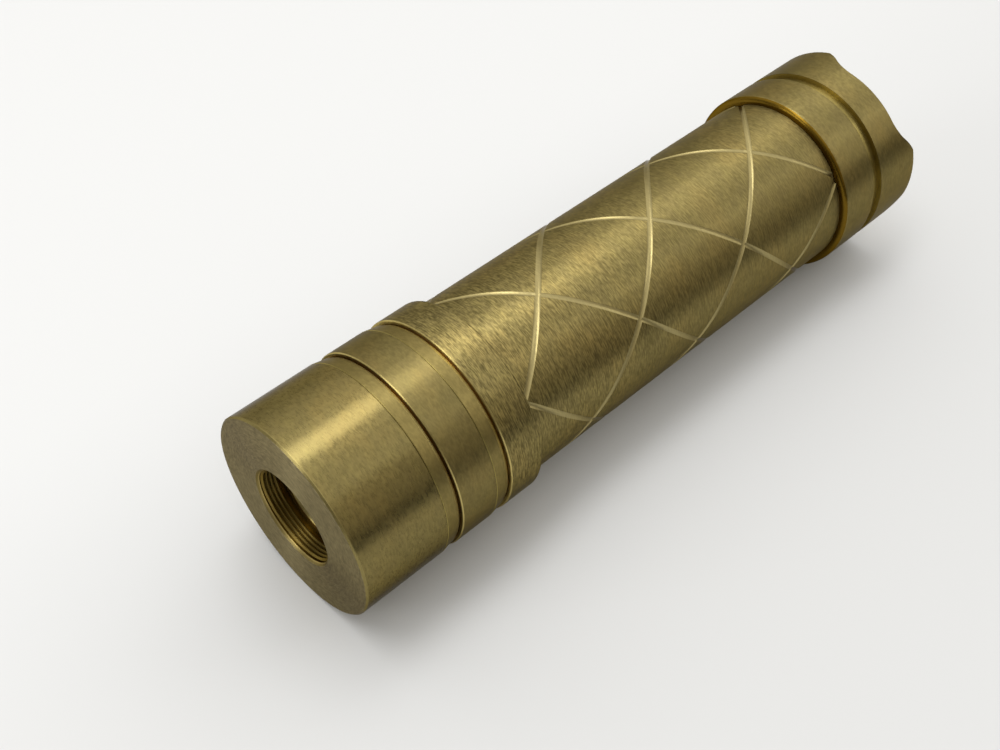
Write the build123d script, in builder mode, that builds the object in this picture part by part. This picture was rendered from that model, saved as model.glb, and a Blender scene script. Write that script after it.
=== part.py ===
"""Pocket laser pointer, turned from brass bar in four screwed sections.

Every section is turned, so the pieces are drawn round the Z axis, with z = 0 at the tips of the
tail crown's three lobes. From there up come the tail cap with its push button, the grooved
battery tube, the head sleeve that carries the laser module, and the front cap with the threaded
mouth that the light leaves by. The finished pieces are then laid down together: the pointer
rests on its side on z = 0, with its muzzle towards -X. Sizes are in millimetres.
"""

import os
from math import asin, atan2, degrees

from build123d import *

# Battery cell, which the tube is made round
cell_diameter = 18.3
cell_length = 49.6
cell_tip_diameter = 6.2
cell_tip_height = 0.6
cell_edge = 0.5
cell_clearance = 0.35

# Walls outwards from the bore. With this cell the head and the tail come out at one inch.
gland_wall = 0.6
tail_step = 0.8  # from the tail thread out to the body
shoulder_height = 1.0  # from the body out to the head and the tail cap
front_spigot_step = 0.5
rear_spigot_step = 0.7

# Outside lengths. The body's own length follows from the cell, and the front cap's from the module.
tail_cap_length = 15.6
flange_length = 4.8
sleeve_length = 6.95
joint_slot = 0.25  # open slot round the waist between two screwed sections

# Edges and bands of the turned outside
muzzle_edge = 0.2
slot_lip = 0.32
slot_lip_drop = 0.15
slot_edge = 0.12
band_drop = 0.28  # how far the fine-turned band falls below the head diameter
cap_band_length = 1.9
sleeve_band_length = 1.92
band_line_depth = 0.08
band_line_width = 0.16
shoulder_radius = 0.4
shoulder_foot_fillet = 0.3

# Crossed helical grooves round the battery tube
groove_starts = 4
diamond_length = 18.75
groove_cutter_radius = 0.5
left_groove_depth = 0.18
right_groove_depth = 0.12
groove_run_in = 0.1
groove_run_out = 0.6
first_crossing_angle = -54.95
first_crossing_rise = 0.05  # the first crossing would lie this far inside the shoulder

# Crown, well and groove of the tail cap
lobe_count = 3
valley_angle = -25.95
valley_depth = 2.86
valley_floor_width = 8.0
valley_turn_width = 14.2  # where its flank turns from hollow to round
valley_turn_depth = 1.6
valley_mouth_width = 18.4
crown_edge = 0.3
well_diameter = 16.4
well_depth = 3.4
end_wall = 1.1
tail_rim_fillet = 0.65
tail_groove_height = 7.72
tail_groove_width = 1.75
tail_groove_depth = 0.65
tail_groove_fillet = 0.3

# Threads, modelled as plain walls, with the clearance that lets them turn
thread_clearance = 0.05
seat_gap = 0.05
front_spigot_length = 6.1
rear_spigot_length = 7.6
seat_ring_width = 1.6
socket_relief = 0.2  # room left past the end of a spigot
thread_edge = 0.3

# Rubber seal rings, squeezed nearly flush in their glands
seal_gland_depth = 0.8
seal_gland_width = 1.25
seal_width = 1.1
seal_clearance = 0.04
tail_seal_offset = 1.6  # middle of the gland, from the shoulder that it seals under
front_seal_offset = 1.2
rear_seal_offset = 1.2

# Threaded mouth
mouth_thread_diameter = 12.0
mouth_thread_depth = 2.8
mouth_chamfer = 0.3

# Laser module
module_diameter = 12.0
module_clearance = 0.15
module_setback = 3.0  # from the muzzle down to the front of the module
module_edge = 0.25
barrel_length = 13.0
base_length = 8.5
lens_thread_diameter = 9.0
lens_cell_length = 7.6
lens_cell_setback = 0.4
lens_cell_mouth = 7.0
lens_cell_funnel = 2.4
lens_opening = 5.2
lens_diameter = 6.4
lens_edge = 1.4
lens_crown = 0.9
lens_bulge_inset = 0.3
lens_step = 0.8
retainer_length = 0.9
retainer_opening = 4.8
lens_spring_clearance = 0.15
lens_spring_wire = 0.5
lens_spring_turns = 4
diode_flange_diameter = 5.6
diode_flange_length = 1.2
diode_can_diameter = 3.55
diode_can_length = 2.3
diode_window_diameter = 1.4
diode_window_thickness = 0.3
pin_diameter = 0.45
pin_circle_diameter = 2.54
pin_count = 3
pin_length = 6.0
pin_bore_diameter = 4.4
pin_bore_length = 3.3
base_pocket_diameter = 9.0
wire_diameter = 0.9
lead_count = 2

# Driver board and its contact
board_margin = 1.1  # the board's radius is this much less than the bore's
board_thickness = 1.2
board_clearance = 0.1
board_recess = 0.6  # how far the board lies inside the end of the sleeve
board_ledge = 0.8
parts_room = 1.7
parts_height = 1.2
module_room = 1.95  # from the front of the board up to the module
chip_length = 5.0
chip_width = 3.2
inductor_size = 3.4
resistor_length = 1.6
resistor_width = 0.9
resistor_spacing = 2.5
parts_row_inset = 2.9
contact_wire = 0.6
contact_turns = 3
contact_foot_diameter = 7.0
contact_tip_diameter = 4.6
contact_height = 3.5
contact_gap = 0.05

# Push button and switch unit in the tail cap
boot_diameter = 10.0
boot_clearance = 0.2
boot_wall = 1.0
boot_proud = 2.2  # how far the dome stands out of the end wall
boot_flange_width = 1.8
boot_flange = 0.8
boot_edge = 1.2
pocket_step = 0.9
holder_length = 4.8
key_slot_width = 2.0
key_slot_depth = 1.5
switch_diameter = 12.2
switch_length = 4.1
plunger_diameter = 4.4
plunger_edge = 0.3
plunger_engagement = 1.5
press_travel = 1.6
press_spare = 0.2
return_spring_clearance = 0.3
return_wire = 0.3
return_turns = 3
switch_board_clearance = 0.9
switch_board_thickness = 1.2
tail_spring_height = 4.8
tail_spring_wire = 0.7
tail_spring_turns = 4
tail_spring_foot_diameter = 11.0
tail_spring_tip_diameter = 7.0

# Stations along the axis, stacked from the lobe tips up: button, switch, cell, board, module
end_wall_inside = well_depth + end_wall
boot_top = end_wall_inside + boot_flange
holder_top = boot_top + holder_length
switch_board_top = holder_top + switch_board_thickness
cell_bottom = switch_board_top + tail_spring_height + contact_gap
cell_top = cell_bottom + cell_length
board_rear = cell_top + contact_height + 2 * contact_gap
board_front = board_rear + board_thickness
base_rear = board_front + module_room
base_front = base_rear + base_length
module_front = base_front + barrel_length
muzzle = module_front + module_setback

# Stations of the four screwed sections
tube_foot = holder_top + seat_gap
tube_shoulder = tail_cap_length + seat_gap
spigot_foot = board_rear - board_recess
flange_top = spigot_foot + rear_spigot_length
body_top = flange_top - flange_length
sleeve_bottom = flange_top + joint_slot
sleeve_top = sleeve_bottom + sleeve_length
cap_bottom = sleeve_top + joint_slot
spigot_top = sleeve_top + front_spigot_length

# Radii that several pieces share
cell_radius = cell_diameter / 2
bore_radius = cell_radius + cell_clearance
tail_thread_radius = bore_radius + gland_wall + seal_gland_depth
body_radius = tail_thread_radius + tail_step
head_radius = body_radius + shoulder_height
tail_radius = head_radius
front_spigot_radius = bore_radius + front_spigot_step
rear_spigot_radius = bore_radius + rear_spigot_step
board_radius = bore_radius - board_margin
parts_room_radius = board_radius - board_ledge
module_radius = module_diameter / 2
lens_cell_radius = lens_thread_diameter / 2
lens_radius = lens_diameter / 2
diode_flange_radius = diode_flange_diameter / 2
base_pocket_radius = base_pocket_diameter / 2
boot_radius = boot_diameter / 2
button_hole_radius = boot_radius + boot_clearance
boot_flange_radius = boot_radius + boot_flange_width
pocket_radius = tail_thread_radius - pocket_step
switch_radius = switch_diameter / 2
switch_board_radius = bore_radius - switch_board_clearance
plunger_radius = plunger_diameter / 2


def coil(wire, foot_diameter, tip_diameter, bottom, top, turns):
    """A round-wire spring whose centre line climbs from the bottom to the top, both inside it."""
    rise = top - bottom - wire
    foot_radius = (foot_diameter - wire) / 2
    tip_radius = (tip_diameter - wire) / 2
    lean = degrees(atan2(foot_radius - tip_radius, rise))
    with BuildPart() as spring:
        with BuildLine() as centre_line:
            Helix(
                pitch=rise / turns,
                height=rise,
                radius=foot_radius,
                center=(0, 0, bottom + wire / 2),
                cone_angle=-lean,
            )
        start = centre_line.line @ 0
        along = centre_line.line % 0
        with BuildSketch(Plane(origin=start, z_dir=along)):
            Circle(wire / 2)
        sweep(is_frenet=True)
    return spring.part


def seal_ring(root_radius, height):
    """A rubber ring, squeezed oval between the floor of its gland and the wall that it seals."""
    with BuildPart() as ring:
        with BuildSketch(Plane.XZ):
            with Locations((root_radius + (seal_gland_depth + seal_clearance) / 2, height)):
                Ellipse((seal_gland_depth - seal_clearance) / 2, seal_width / 2)
        revolve(axis=Axis.Z)
    return ring.part


def groove_cutter(depth, lefthand):
    """The path of a ball-nosed cutter that runs once down the battery tube at a depth."""
    start = tube_shoulder - groove_run_out
    with BuildPart() as cutter:
        with BuildLine() as path:
            Helix(
                pitch=groove_starts * diamond_length,
                height=body_top - groove_run_in - start,
                radius=body_radius - depth + groove_cutter_radius,
                center=(0, 0, start),
                lefthand=lefthand,
            )
        with BuildSketch(Plane(origin=path.line @ 0, z_dir=path.line % 0)):
            Circle(groove_cutter_radius)
        sweep(is_frenet=True)
    return cutter.part


# Battery tube: one turning, with the front flange, the grooved body and the tail thread
tail_gland_top = tube_shoulder - tail_seal_offset + seal_gland_width / 2
tail_gland_bottom = tail_gland_top - seal_gland_width
tail_gland_radius = tail_thread_radius - seal_gland_depth
socket_radius = rear_spigot_radius + thread_clearance
socket_floor = spigot_foot - socket_relief
seat_ring_radius = socket_radius + seat_ring_width
rise_to_crossing = body_top + first_crossing_rise - tube_shoulder + groove_run_out
turn_to_crossing = rise_to_crossing / (groove_starts * diamond_length)

with BuildPart() as battery_tube:
    with BuildSketch(Plane.XZ) as tube_outline:
        with BuildLine():
            Polyline(
                (body_radius, body_top),
                (body_radius, tube_shoulder),
                (tail_thread_radius, tube_shoulder),
                (tail_thread_radius, tail_gland_top),
                (tail_gland_radius, tail_gland_top),
                (tail_gland_radius, tail_gland_bottom),
                (tail_thread_radius, tail_gland_bottom),
                (tail_thread_radius, tube_foot + thread_edge),
                (tail_thread_radius - thread_edge, tube_foot),
                (bore_radius, tube_foot),
                (bore_radius, socket_floor),
                (socket_radius, socket_floor),
                (socket_radius, flange_top),
                (head_radius - slot_edge, flange_top),
                (head_radius, flange_top - slot_edge),
                (head_radius, body_top),
                close=True,
            )
        make_face()
        shoulder_foot = tube_outline.vertices().sort_by_distance((body_radius, body_top))[0]
        fillet(shoulder_foot, shoulder_foot_fillet)
        shoulder_rim = tube_outline.vertices().sort_by_distance((head_radius, body_top))[0]
        fillet(shoulder_rim, shoulder_radius)
    revolve(axis=Axis.Z)
    for depth, lefthand, turn in (
        (right_groove_depth, False, -turn_to_crossing),
        (left_groove_depth, True, turn_to_crossing),
    ):
        with PolarLocations(0, groove_starts, start_angle=first_crossing_angle + 360 * turn):
            add(groove_cutter(depth, lefthand), mode=Mode.SUBTRACT)

# Head sleeve: the collar between the two slots, with a spigot each way and the module's bore
module_bore_radius = module_radius
board_pocket_radius = board_radius + board_clearance
sleeve_band_bottom = sleeve_bottom + sleeve_band_length
front_gland_bottom = sleeve_top + front_seal_offset - seal_gland_width / 2
front_gland_radius = front_spigot_radius - seal_gland_depth
rear_gland_top = flange_top - rear_seal_offset + seal_gland_width / 2
rear_gland_radius = rear_spigot_radius - seal_gland_depth

with BuildPart() as head_sleeve:
    with BuildSketch(Plane.XZ):
        with BuildLine():
            Polyline(
                (module_bore_radius, spigot_top),
                (front_spigot_radius - thread_edge, spigot_top),
                (front_spigot_radius, spigot_top - thread_edge),
                (front_spigot_radius, front_gland_bottom + seal_gland_width),
                (front_gland_radius, front_gland_bottom + seal_gland_width),
                (front_gland_radius, front_gland_bottom),
                (front_spigot_radius, front_gland_bottom),
                (front_spigot_radius, sleeve_top),
                (head_radius - slot_edge, sleeve_top),
                (head_radius, sleeve_top - slot_edge),
                (head_radius, sleeve_band_bottom + band_line_width),
                (head_radius - band_line_depth, sleeve_band_bottom + band_line_width / 2),
                (head_radius, sleeve_band_bottom),
                (head_radius - band_drop, sleeve_bottom + slot_lip),
                (head_radius - band_drop - slot_lip_drop, sleeve_bottom),
                (seat_ring_radius, sleeve_bottom),
                (seat_ring_radius, flange_top),
                (rear_spigot_radius, flange_top),
                (rear_spigot_radius, rear_gland_top),
                (rear_gland_radius, rear_gland_top),
                (rear_gland_radius, rear_gland_top - seal_gland_width),
                (rear_spigot_radius, rear_gland_top - seal_gland_width),
                (rear_spigot_radius, spigot_foot + thread_edge),
                (rear_spigot_radius - thread_edge, spigot_foot),
                (board_pocket_radius, spigot_foot),
                (board_pocket_radius, board_front),
                (parts_room_radius, board_front),
                (parts_room_radius, board_front + parts_room),
                (module_bore_radius, board_front + parts_room),
                close=True,
            )
        make_face()
    revolve(axis=Axis.Z)

# Front cap: the head, bored for the sleeve's spigot and the module, with the threaded mouth
cap_socket_radius = front_spigot_radius + thread_clearance
cap_bore_radius = module_radius + module_clearance
mouth_radius = mouth_thread_diameter / 2 - thread_clearance
mouth_bottom = muzzle - mouth_thread_depth
cap_band_bottom = cap_bottom + cap_band_length

with BuildPart() as front_cap:
    with BuildSketch(Plane.XZ):
        with BuildLine():
            Polyline(
                (mouth_radius, mouth_bottom),
                (mouth_radius, muzzle - mouth_chamfer),
                (mouth_radius + mouth_chamfer, muzzle),
                (head_radius - muzzle_edge, muzzle),
                (head_radius, muzzle - muzzle_edge),
                (head_radius, cap_band_bottom + band_line_width),
                (head_radius - band_line_depth, cap_band_bottom + band_line_width / 2),
                (head_radius, cap_band_bottom),
                (head_radius - band_drop, cap_bottom + slot_lip),
                (head_radius - band_drop - slot_lip_drop, cap_bottom),
                (cap_socket_radius + seat_ring_width, cap_bottom),
                (cap_socket_radius + seat_ring_width, sleeve_top),
                (cap_socket_radius, sleeve_top),
                (cap_socket_radius, spigot_top + socket_relief),
                (cap_bore_radius, spigot_top + socket_relief),
                (cap_bore_radius, mouth_bottom),
                close=True,
            )
        make_face()
    revolve(axis=Axis.Z)

# Tail cap: the crowned end, the well round the button, the switch pocket and the tail thread
cap_thread_radius = tail_thread_radius + thread_clearance
well_radius = well_diameter / 2
groove_floor_radius = tail_radius - tail_groove_depth
groove_top = tail_groove_height + tail_groove_width

with BuildPart() as tail_cap:
    with BuildSketch(Plane.XZ) as cap_outline:
        with BuildLine():
            Polyline(
                (well_radius, 0),
                (tail_radius - crown_edge, 0),
                (tail_radius, crown_edge),
                (tail_radius, tail_groove_height),
                (groove_floor_radius, tail_groove_height),
                (groove_floor_radius, groove_top - tail_groove_depth),
                (tail_radius, groove_top),
                (tail_radius, tail_cap_length),
                (cap_thread_radius, tail_cap_length),
                (cap_thread_radius, holder_top),
                (pocket_radius, holder_top),
                (pocket_radius, boot_top),
                (boot_flange_radius, boot_top),
                (boot_flange_radius, end_wall_inside),
                (button_hole_radius, end_wall_inside),
                (button_hole_radius, well_depth),
                (well_radius, well_depth),
                close=True,
            )
        make_face()
        rim = cap_outline.vertices().sort_by_distance((tail_radius, tail_cap_length))[0]
        fillet(rim, tail_rim_fillet)
        groove_floor = cap_outline.vertices().sort_by_distance((groove_floor_radius, groove_top))
        fillet(groove_floor[0], tail_groove_fillet)
    revolve(axis=Axis.Z)
    for valley in range(lobe_count):
        outward = Vector(1, 0, 0).rotate(Axis.Z, valley_angle + 360 * valley / lobe_count)
        sideways = Vector(0, 1, 0).rotate(Axis.Z, valley_angle + 360 * valley / lobe_count)
        with BuildSketch(Plane(origin=(0, 0, 0), x_dir=sideways, z_dir=outward)):
            with BuildLine():
                floor_end = (valley_floor_width / 2, valley_depth)
                flank_turn = (valley_turn_width / 2, valley_turn_depth)
                mouth_end = (valley_mouth_width / 2, 0)
                Line((0, valley_depth), floor_end)
                hollow = TangentArc(floor_end, flank_turn, tangent=(1, 0))
                TangentArc(flank_turn, mouth_end, tangent=hollow % 1)
                Polyline(mouth_end, (valley_mouth_width / 2, -1), (0, -1))
                mirror(about=Plane.YZ)
            make_face()
        extrude(amount=tail_radius + 1, mode=Mode.SUBTRACT)

# Rubber seal rings
front_seal = seal_ring(front_gland_radius, front_gland_bottom + seal_gland_width / 2)
rear_seal = seal_ring(rear_gland_radius, rear_gland_top - seal_gland_width / 2)
tail_seal = seal_ring(tail_gland_radius, tail_gland_top - seal_gland_width / 2)

# Laser module: a barrel for the lens cell, screwed to the base that grips the diode
with BuildPart() as module_barrel:
    with BuildSketch(Plane.XY.offset(base_front)):
        Circle(module_radius)
        Circle(lens_cell_radius, mode=Mode.SUBTRACT)
    extrude(amount=barrel_length)
    chamfer(module_barrel.edges().group_by(Axis.Z)[-1], module_edge)

pin_bore_radius = pin_bore_diameter / 2
flange_seat = base_front - diode_flange_length
with BuildPart() as module_base:
    with BuildSketch(Plane.XZ):
        with BuildLine():
            Polyline(
                (pin_bore_radius, flange_seat),
                (diode_flange_radius, flange_seat),
                (diode_flange_radius, base_front),
                (module_radius, base_front),
                (module_radius, base_rear),
                (base_pocket_radius, base_rear),
                (base_pocket_radius, flange_seat - pin_bore_length),
                (pin_bore_radius, flange_seat - pin_bore_length),
                close=True,
            )
        make_face()
    revolve(axis=Axis.Z)

# Lens cell: a threaded plug with the lens dropped in from behind
cell_front = module_front - lens_cell_setback
lens_cell_rear = cell_front - lens_cell_length
lens_seat = cell_front - lens_cell_funnel - lens_step
with BuildPart() as lens_cell:
    with BuildSketch(Plane.XZ):
        with BuildLine():
            Polyline(
                (lens_opening / 2, lens_seat),
                (lens_opening / 2, cell_front - lens_cell_funnel),
                (lens_cell_mouth / 2, cell_front),
                (lens_cell_radius, cell_front),
                (lens_cell_radius, lens_cell_rear),
                (lens_radius, lens_cell_rear),
                (lens_radius, lens_seat),
                close=True,
            )
        make_face()
    revolve(axis=Axis.Z)

# Collimating lens: flat behind, crowned in front, seated by its rim against the cell's step
lens_front = lens_seat + lens_crown
lens_back = lens_seat - lens_edge
lens_bulge_radius = lens_opening / 2 - lens_bulge_inset
lens_sphere_radius = (lens_bulge_radius**2 + lens_crown**2) / (2 * lens_crown)
lens_bulge_angle = degrees(asin(lens_bulge_radius / lens_sphere_radius))
with BuildPart() as collimating_lens:
    with BuildSketch(Plane.XZ):
        with BuildLine():
            Polyline(
                (0, lens_front),
                (0, lens_back),
                (lens_radius, lens_back),
                (lens_radius, lens_seat),
                (lens_bulge_radius, lens_seat),
            )
            CenterArc(
                (0, lens_front - lens_sphere_radius),
                lens_sphere_radius,
                start_angle=90 - lens_bulge_angle,
                arc_size=lens_bulge_angle,
            )
        make_face()
    revolve(axis=Axis.Z)

with BuildPart() as lens_retainer:
    with BuildSketch(Plane.XY.offset(lens_back)):
        Circle(lens_radius)
        Circle(retainer_opening / 2, mode=Mode.SUBTRACT)
    extrude(amount=-retainer_length)

lens_spring_diameter = lens_thread_diameter - 2 * lens_spring_clearance
lens_spring = coil(
    lens_spring_wire,
    lens_spring_diameter,
    lens_spring_diameter,
    base_front,
    lens_cell_rear,
    lens_spring_turns,
)

# Laser diode: the flanged can, its window and its three pins
diode_front = base_front + diode_can_length
with BuildPart() as laser_diode:
    with BuildSketch(Plane.XZ):
        with BuildLine():
            Polyline(
                (0, flange_seat),
                (diode_flange_radius, flange_seat),
                (diode_flange_radius, base_front),
                (diode_can_diameter / 2, base_front),
                (diode_can_diameter / 2, diode_front),
                (diode_window_diameter / 2, diode_front),
                (diode_window_diameter / 2, diode_front - diode_window_thickness),
                (0, diode_front - diode_window_thickness),
                close=True,
            )
        make_face()
    revolve(axis=Axis.Z)

with BuildPart() as diode_window:
    with BuildSketch(Plane.XY.offset(diode_front)):
        Circle(diode_window_diameter / 2)
    extrude(amount=-diode_window_thickness)

with BuildPart() as diode_pins:
    with BuildSketch(Plane.XY.offset(flange_seat)):
        with PolarLocations(pin_circle_diameter / 2, pin_count):
            Circle(pin_diameter / 2)
    extrude(amount=-pin_length)

# Two insulated leads carry the current from two of the pins to the driver board
lead_spread = 360 * lead_count / pin_count
with BuildPart() as lead_wires:
    with BuildSketch(Plane.XY.offset(flange_seat - pin_length)):
        with PolarLocations(pin_circle_diameter / 2, lead_count, angular_range=lead_spread):
            Circle(wire_diameter / 2)
    extrude(amount=board_front - flange_seat + pin_length)

# Driver board in the back of the sleeve, with its components and the battery contact
with BuildPart() as driver_board:
    with BuildSketch(Plane.XY.offset(board_rear)):
        Circle(board_radius)
    extrude(amount=board_thickness)

parts_row_radius = parts_room_radius - parts_row_inset
with BuildPart() as driver_parts:
    with BuildSketch(Plane.XY.offset(board_front)):
        with Locations((0, parts_row_radius)):
            Rectangle(chip_length, chip_width)
        with Locations((0, -parts_row_radius)):
            Rectangle(inductor_size, inductor_size)
        with GridLocations(2 * parts_row_radius, resistor_spacing, 2, 2):
            Rectangle(resistor_length, resistor_width)
    extrude(amount=parts_height)

contact_spring = coil(
    contact_wire,
    contact_tip_diameter,
    contact_foot_diameter,
    cell_top + contact_gap,
    board_rear - contact_gap,
    contact_turns,
)

# Battery cell: a sealed can with a raised tip
with BuildPart() as battery_cell:
    with BuildSketch(Plane.XY.offset(cell_bottom)):
        Circle(cell_radius)
    extrude(amount=cell_length - cell_tip_height)
    fillet(battery_cell.edges(), cell_edge)
    with BuildSketch(Plane.XY.offset(cell_top - cell_tip_height)):
        Circle(cell_tip_diameter / 2)
    extrude(amount=cell_tip_height)

# Rubber boot: a domed cup whose flange is clamped between the end wall and the switch holder
boot_tip = well_depth - boot_proud
boot_inner_radius = boot_radius - boot_wall
with BuildPart() as button_boot:
    with BuildSketch(Plane.XZ) as boot_outline:
        with BuildLine():
            Polyline(
                (0, boot_tip),
                (boot_radius, boot_tip),
                (boot_radius, end_wall_inside),
                (boot_flange_radius, end_wall_inside),
                (boot_flange_radius, boot_top),
                (boot_inner_radius, boot_top),
                (boot_inner_radius, boot_tip + boot_wall),
                (0, boot_tip + boot_wall),
                close=True,
            )
        make_face()
        dome_edge = boot_outline.vertices().sort_by_distance((boot_radius, boot_tip))[0]
        fillet(dome_edge, boot_edge)
        cup_corner = (boot_inner_radius, boot_tip + boot_wall)
        fillet(boot_outline.vertices().sort_by_distance(cup_corner)[0], boot_edge - boot_wall / 2)
    revolve(axis=Axis.Z)

# Switch holder: a threaded plug that clamps the boot and carries the switch
with BuildPart() as switch_holder:
    with BuildSketch(Plane.XY.offset(boot_top)):
        Circle(pocket_radius)
        Circle(switch_radius, mode=Mode.SUBTRACT)
    extrude(amount=holder_length)
    with BuildSketch(Plane.XY.offset(holder_top)):
        with PolarLocations((pocket_radius + switch_board_radius) / 2, 2):
            Rectangle(pocket_radius - switch_board_radius, key_slot_width)
    extrude(amount=-key_slot_depth, mode=Mode.SUBTRACT)

switch_bottom = holder_top - switch_length
plunger_bore_radius = plunger_radius + thread_clearance
plunger_top = switch_bottom + plunger_engagement
plunger_bore_top = plunger_top + press_travel + press_spare
with BuildPart() as switch_body:
    with BuildSketch(Plane.XY.offset(switch_bottom)):
        Circle(switch_radius)
    extrude(amount=switch_length)
    with BuildSketch(Plane.XY.offset(switch_bottom)):
        Circle(plunger_bore_radius)
    extrude(amount=plunger_bore_top - switch_bottom, mode=Mode.SUBTRACT)

with BuildPart() as switch_plunger:
    with BuildSketch(Plane.XY.offset(boot_tip + boot_wall)):
        Circle(plunger_radius)
    extrude(amount=plunger_top - boot_tip - boot_wall)
    chamfer(switch_plunger.edges().group_by(Axis.Z)[0], plunger_edge)

return_spring_diameter = plunger_diameter - 2 * return_spring_clearance
switch_spring = coil(
    return_wire,
    return_spring_diameter,
    return_spring_diameter,
    plunger_top,
    plunger_bore_top,
    return_turns,
)

with BuildPart() as switch_board:
    with BuildSketch(Plane.XY.offset(holder_top)):
        Circle(switch_board_radius)
    extrude(amount=switch_board_thickness)

tail_spring = coil(
    tail_spring_wire,
    tail_spring_foot_diameter,
    tail_spring_tip_diameter,
    switch_board_top,
    cell_bottom - contact_gap,
    tail_spring_turns,
)

pieces = {
    "front_cap": front_cap.part,
    "head_sleeve": head_sleeve.part,
    "battery_tube": battery_tube.part,
    "tail_cap": tail_cap.part,
    "front_seal": front_seal,
    "rear_seal": rear_seal,
    "tail_seal": tail_seal,
    "module_barrel": module_barrel.part,
    "module_base": module_base.part,
    "lens_cell": lens_cell.part,
    "collimating_lens": collimating_lens.part,
    "lens_retainer": lens_retainer.part,
    "lens_spring": lens_spring,
    "laser_diode": laser_diode.part,
    "diode_window": diode_window.part,
    "diode_pins": diode_pins.part,
    "lead_wires": lead_wires.part,
    "driver_board": driver_board.part,
    "driver_parts": driver_parts.part,
    "contact_spring": contact_spring,
    "battery_cell": battery_cell.part,
    "button_boot": button_boot.part,
    "switch_holder": switch_holder.part,
    "switch_body": switch_body.part,
    "switch_plunger": switch_plunger.part,
    "switch_spring": switch_spring,
    "switch_board": switch_board.part,
    "tail_spring": tail_spring,
}

# Laid on its side: what was drawn at angle 0 is on top, and the middle of the length is x = 0
laid_down = Location((muzzle / 2, 0, head_radius), (0, -90, 0))

os.makedirs("parts", exist_ok=True)
for name, piece in pieces.items():
    piece.move(laid_down)
    piece.label = name
    export_step(piece, f"parts/{name}.step")
    box = piece.bounding_box()
    print(f"{name:18s} x {box.min.X:7.2f} to {box.max.X:7.2f}, across {box.size.Z:6.2f}")
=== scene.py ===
"""The looks of a brass pocket laser pointer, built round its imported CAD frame.

The pointer lies on its side on z = 0. Its axis runs along X at the height of the head's radius,
and the muzzle is towards -X. Lengths are in metres, and those given in millimetres are times MM.
"""

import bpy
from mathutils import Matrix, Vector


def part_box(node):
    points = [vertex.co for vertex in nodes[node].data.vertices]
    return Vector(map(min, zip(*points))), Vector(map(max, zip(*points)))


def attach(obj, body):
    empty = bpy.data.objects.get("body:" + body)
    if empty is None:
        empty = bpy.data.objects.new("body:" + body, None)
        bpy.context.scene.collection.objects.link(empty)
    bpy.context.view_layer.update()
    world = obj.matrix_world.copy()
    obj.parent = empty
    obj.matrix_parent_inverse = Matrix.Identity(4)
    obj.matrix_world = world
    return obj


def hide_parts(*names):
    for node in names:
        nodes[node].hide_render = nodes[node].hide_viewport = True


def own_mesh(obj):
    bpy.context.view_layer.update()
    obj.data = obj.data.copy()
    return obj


bl_info = {
    "name": "Brass Laser Pointer",
    "version": (1, 0, 0),
    "blender": (4, 5, 0),
    "location": "3D View > Sidebar > Pointer",
    "description": "Finishes, muzzle thread, push button and stage of a brass laser pointer",
    "category": "Object",
}

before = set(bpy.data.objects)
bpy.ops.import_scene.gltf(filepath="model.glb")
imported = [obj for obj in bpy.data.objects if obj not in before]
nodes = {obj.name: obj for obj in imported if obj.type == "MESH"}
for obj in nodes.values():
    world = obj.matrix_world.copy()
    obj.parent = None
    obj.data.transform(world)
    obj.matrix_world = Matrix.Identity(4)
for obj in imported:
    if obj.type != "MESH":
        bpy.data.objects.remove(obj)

import math
from collections import namedtuple

import bpy
import numpy as np
from bpy.props import FloatProperty, FloatVectorProperty, IntProperty, PointerProperty
from mathutils import Matrix, Vector

MM = 0.001
TURN = 2 * math.pi
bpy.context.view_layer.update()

# Stations that the CAD gives, along X from the muzzle to the tail
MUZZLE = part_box("front_cap")[0].x
AXIS_HEIGHT = (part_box("front_cap")[0].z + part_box("front_cap")[1].z) / 2
HEAD_RADIUS = (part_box("front_cap")[1].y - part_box("front_cap")[0].y) / 2
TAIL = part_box("tail_cap")[1].x
CAP_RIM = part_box("tail_cap")[0].x
MODULE_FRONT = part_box("module_barrel")[0].x
BOOT_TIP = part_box("button_boot")[1].x
BOOT_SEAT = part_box("button_boot")[0].x
BODY_RADIUS = HEAD_RADIUS - 1.0 * MM

# Front and rear wall of the two open slots in the head, and foot and top of the slots' lips
FRONT_SLOT = (-35.30 * MM, -35.05 * MM)
REAR_SLOT = (-28.10 * MM, -27.85 * MM)
SLOT_LIP = 0.32 * MM
LIP_FOOT = HEAD_RADIUS - 0.44 * MM
LIP_TOP = HEAD_RADIUS - 0.01 * MM

# Foot of the shoulder, and the groove round the tail cap
SHOULDER_FOOT = -22.9 * MM
TAIL_GROOVE = (39.0 * MM, 40.8 * MM)

# Depth of the mouth's chamfer and radius that nothing in the mouth reaches
MOUTH_CHAMFER = 0.3 * MM
MOUTH_REACH = 7.0 * MM

# Radius beyond the whole pointer, and the depth of material that counts as a face's own
FAR = 1.2 * HEAD_RADIUS
SKIN = 0.02 * MM

# A ring of space between two stations and two radii, with the colour, roughness and mottle that the brass is
# given in it. In some rings the colour holds painted light or shade.
# mottle is the share of the mottle that is left there.
Region = namedtuple("Region", "start end inner outer colour roughness mottle")

# Crossed helical grooves from start to end, milled into a surface of radius top. One crossing
# lies at cross_x and at cross_angle from straight up, and half_width is along X, of a
# left-handed groove.
Grooves = namedtuple("Grooves", "start end top cross_x cross_angle lead starts half_width")


def srgb(code):
    """A hex colour such as #796D41 as linear red, green and blue."""
    parts = [int(code[i : i + 2], 16) / 255 for i in (1, 3, 5)]
    return tuple(c / 12.92 if c <= 0.04045 else ((c + 0.055) / 1.055) ** 2.4 for c in parts)


# Sizes and colours for the user


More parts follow.
